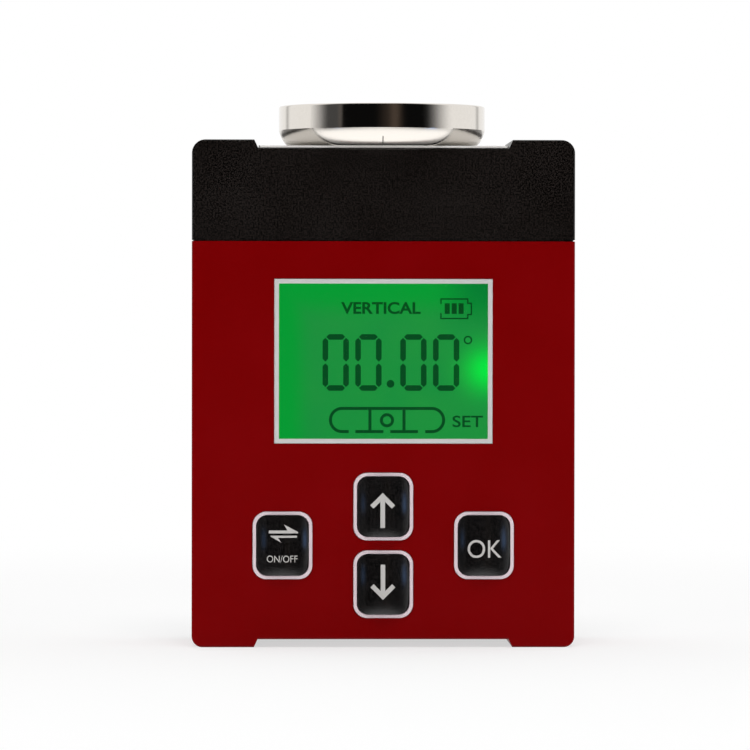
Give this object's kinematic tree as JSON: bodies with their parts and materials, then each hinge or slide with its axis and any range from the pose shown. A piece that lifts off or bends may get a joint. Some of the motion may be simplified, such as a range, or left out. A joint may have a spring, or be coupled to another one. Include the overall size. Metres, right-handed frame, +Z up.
{
  "type": "camber caster gauge",
  "caption": "Hand-sized digital angle gauge: red body, black head with a round magnetic mount on top, backlit display, push keys and a battery door at the back.",
  "frame": {"origin": "middle of the plane that the lower feet stand on, under the magnet's axis", "axes": "+Z up along the magnet's axis, the display and keys face -Y, +X to the right of a person reading it"},
  "size_m": [0.077, 0.042, 0.1092],
  "materials": {
    "red_shell": "smooth gloss red ABS",
    "black_shell": "black ABS with a fine spark texture",
    "white_trim": "white ABS, half gloss",
    "lens": "clear acrylic",
    "lcd": "display glass with polarisers, lit green from behind",
    "guide": "clear light guide, lit green",
    "led": "side-view lamp, lit",
    "tray": "white moulded tray",
    "strip": "layered conductive rubber",
    "black_key": "black key with a crowned satin face and grey printed legend",
    "switch_top": "moulded nylon",
    "switch_body": "moulded nylon",
    "board": "green solder mask on fibreglass",
    "chip": "black moulding with tinned legs",
    "sensor": "grey package with a metal lid",
    "chips": "ceramic chips with tinned ends",
    "screw_steel": "zinc plated",
    "cell_jacket": "plain printed jacket",
    "contact_steel": "nickel plated",
    "lead_red": "insulated wire",
    "lead_black": "insulated wire",
    "nickel": "bright nickel plate on drawn steel",
    "magnet": "nickel plated ring magnet",
    "plate_steel": "zinc plated",
    "screw_black": "blackened"
  },
  "bodies": {
    "case": {"body_shell": "red_shell", "head_shell": "black_shell", "rear_cover": "black_shell", "display_bezel": "white_trim", "display_lens": "lens", "lcd_glass": "lcd", "light_guide": "guide", "backlight_led": "led", "lcd_holder": "tray", "contact_strip": "strip", "key_frame": "white_trim", "switch_bodies": "switch_body", "main_board": "board", "controller_chip": "chip", "tilt_sensor": "sensor", "chip_parts": "chips", "board_screws": "screw_steel", "cell_upper": "cell_jacket", "cell_lower": "cell_jacket", "contact_positive": "contact_steel", "contact_negative": "contact_steel", "contact_link": "contact_steel", "contact_springs": "contact_steel", "lead_positive": "lead_red", "lead_negative": "lead_black", "magnet_seat": "white_trim", "magnet_cup": "nickel", "ring_magnet": "magnet", "magnet_screw": "screw_steel", "anchor_plate": "plate_steel", "anchor_nut": "screw_steel", "head_screws": "screw_steel", "case_screws": "screw_black"},
    "on_off_key": {"key_on_off": "black_key", "plunger_on_off": "switch_top"},
    "up_key": {"key_up": "black_key", "plunger_up": "switch_top"},
    "down_key": {"key_down": "black_key", "plunger_down": "switch_top"},
    "ok_key": {"key_ok": "black_key", "plunger_ok": "switch_top"},
    "door": {"battery_door": "black_shell"}
  },
  "joints": [
    {"name": "on_off_key_press", "type": "slide", "parent": "case", "child": "on_off_key", "axis": [0, 1, 0], "range_m": [0, 0.0003], "stiffness_N_per_m": 5000, "springref_m": -0.0002},
    {"name": "up_key_press", "type": "slide", "parent": "case", "child": "up_key", "axis": [0, 1, 0], "range_m": [0, 0.0003], "stiffness_N_per_m": 5000, "springref_m": -0.0002},
    {"name": "down_key_press", "type": "slide", "parent": "case", "child": "down_key", "axis": [0, 1, 0], "range_m": [0, 0.0003], "stiffness_N_per_m": 5000, "springref_m": -0.0002},
    {"name": "ok_key_press", "type": "slide", "parent": "case", "child": "ok_key", "axis": [0, 1, 0], "range_m": [0, 0.0003], "stiffness_N_per_m": 5000, "springref_m": -0.0002},
    {"name": "door_hinge", "type": "hinge", "parent": "case", "child": "door", "pos_m": [0, 0.0149, 0.02395], "axis": [-1, 0, 0], "range_deg": [0, 75]}
  ]
}
